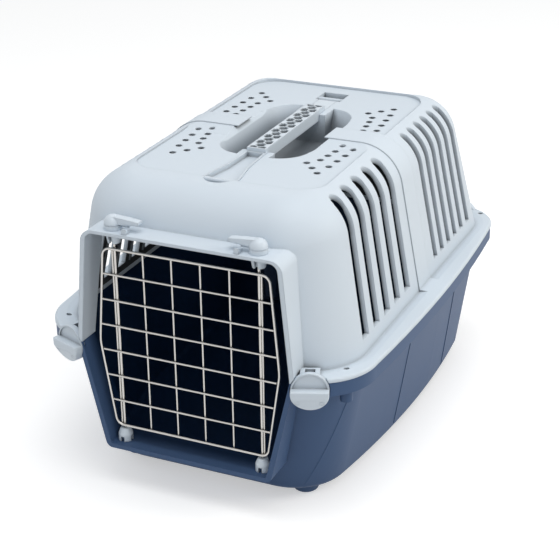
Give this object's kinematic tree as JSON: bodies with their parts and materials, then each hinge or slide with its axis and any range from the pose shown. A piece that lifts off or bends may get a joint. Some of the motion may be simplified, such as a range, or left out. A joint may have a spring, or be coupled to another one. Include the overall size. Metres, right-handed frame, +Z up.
{
  "type": "pet carrier",
  "caption": "Two-part moulded pet carrier with a vented upper shell, honeycomb carry grip, and a welded wire door hung on turn locks so that it opens from either side.",
  "frame": {"origin": "on the floor under the middle of the rim", "axes": "+Z up, -Y out of the door, +X to the right of someone who faces the door"},
  "size_m": [0.345, 0.4782, 0.303],
  "materials": {
    "upper_plastic": "satin moulded",
    "lower_plastic": "satin moulded",
    "grip_plastic": "satin moulded",
    "lock_plastic": "satin moulded",
    "knob_plastic": "satin moulded",
    "door_wire": "plated wire"
  },
  "bodies": {
    "lower_body": {"lower_shell": "lower_plastic", "right_bottom_bush": "lock_plastic"},
    "left_bush": {"left_bottom_bush": "lock_plastic"},
    "door": {"door_frame_wire": "door_wire", "left_door_rod": "door_wire", "right_door_rod": "door_wire", "door_row_wire_1": "door_wire", "door_row_wire_2": "door_wire", "door_row_wire_3": "door_wire", "door_row_wire_4": "door_wire", "door_row_wire_5": "door_wire", "door_row_wire_6": "door_wire", "door_column_wire_1": "door_wire", "door_column_wire_2": "door_wire", "door_column_wire_3": "door_wire", "door_column_wire_4": "door_wire", "door_column_wire_5": "door_wire", "door_column_wire_6": "door_wire"},
    "upper_body": {"upper_shell": "upper_plastic", "carry_handle": "grip_plastic", "left_guide_sleeve": "lock_plastic", "right_guide_sleeve": "lock_plastic"},
    "left_plunger": {"left_lock_plunger": "lock_plastic"},
    "right_plunger": {"right_lock_plunger": "lock_plastic"},
    "left_lever": {"left_lock_lever": "lock_plastic"},
    "right_lever": {"right_lock_lever": "lock_plastic"},
    "front_left_knob": {"front_left_turn_knob": "knob_plastic"},
    "front_right_knob": {"front_right_turn_knob": "knob_plastic"},
    "rear_left_knob": {"rear_left_turn_knob": "knob_plastic"},
    "rear_right_knob": {"rear_right_turn_knob": "knob_plastic"}
  },
  "joints": [
    {"name": "upper_lift", "type": "slide", "parent": "lower_body", "child": "upper_body", "axis": [0, 0, 1], "range_m": [0, 0.25]},
    {"name": "door_left_swing", "type": "hinge", "parent": "lower_body", "child": "left_bush", "pos_m": [-0.0728, -0.219, 0.05], "axis": [0, 0, 1], "range_deg": [-110, 0]},
    {"name": "door_right_swing", "type": "hinge", "parent": "left_bush", "child": "door", "pos_m": [0.0728, -0.219, 0.05], "axis": [0, 0, 1], "range_deg": [0, 110]},
    {"name": "left_plunger_slide", "type": "slide", "parent": "upper_body", "child": "left_plunger", "axis": [0, 0, 1], "range_m": [0, 0.01]},
    {"name": "left_lever_turn", "type": "hinge", "parent": "left_plunger", "child": "left_lever", "pos_m": [-0.0728, -0.219, 0.2716], "axis": [0, 0, 1], "range_deg": [-90, 0]},
    {"name": "right_plunger_slide", "type": "slide", "parent": "upper_body", "child": "right_plunger", "axis": [0, 0, 1], "range_m": [0, 0.01]},
    {"name": "right_lever_turn", "type": "hinge", "parent": "right_plunger", "child": "right_lever", "pos_m": [0.0728, -0.219, 0.2716], "axis": [0, 0, 1], "range_deg": [0, 90]},
    {"name": "front_left_knob_turn", "type": "hinge", "parent": "lower_body", "child": "front_left_knob", "pos_m": [-0.122, -0.222, 0.143], "axis": [-0.3584, -0.9336, 0], "range_deg": [0, 90]},
    {"name": "front_right_knob_turn", "type": "hinge", "parent": "lower_body", "child": "front_right_knob", "pos_m": [0.122, -0.222, 0.143], "axis": [0.3584, -0.9336, 0], "range_deg": [0, 90]},
    {"name": "rear_left_knob_turn", "type": "hinge", "parent": "lower_body", "child": "rear_left_knob", "pos_m": [-0.122, 0.222, 0.143], "axis": [-0.3584, 0.9336, 0], "range_deg": [0, 90]},
    {"name": "rear_right_knob_turn", "type": "hinge", "parent": "lower_body", "child": "rear_right_knob", "pos_m": [0.122, 0.222, 0.143], "axis": [0.3584, 0.9336, 0], "range_deg": [0, 90]}
  ],
  "couplings": [
    {"joint": "left_plunger_slide", "follows": "left_lever_turn", "m_per_rad": -0.0063656},
    {"joint": "right_plunger_slide", "follows": "right_lever_turn", "m_per_rad": 0.0063656}
  ]
}
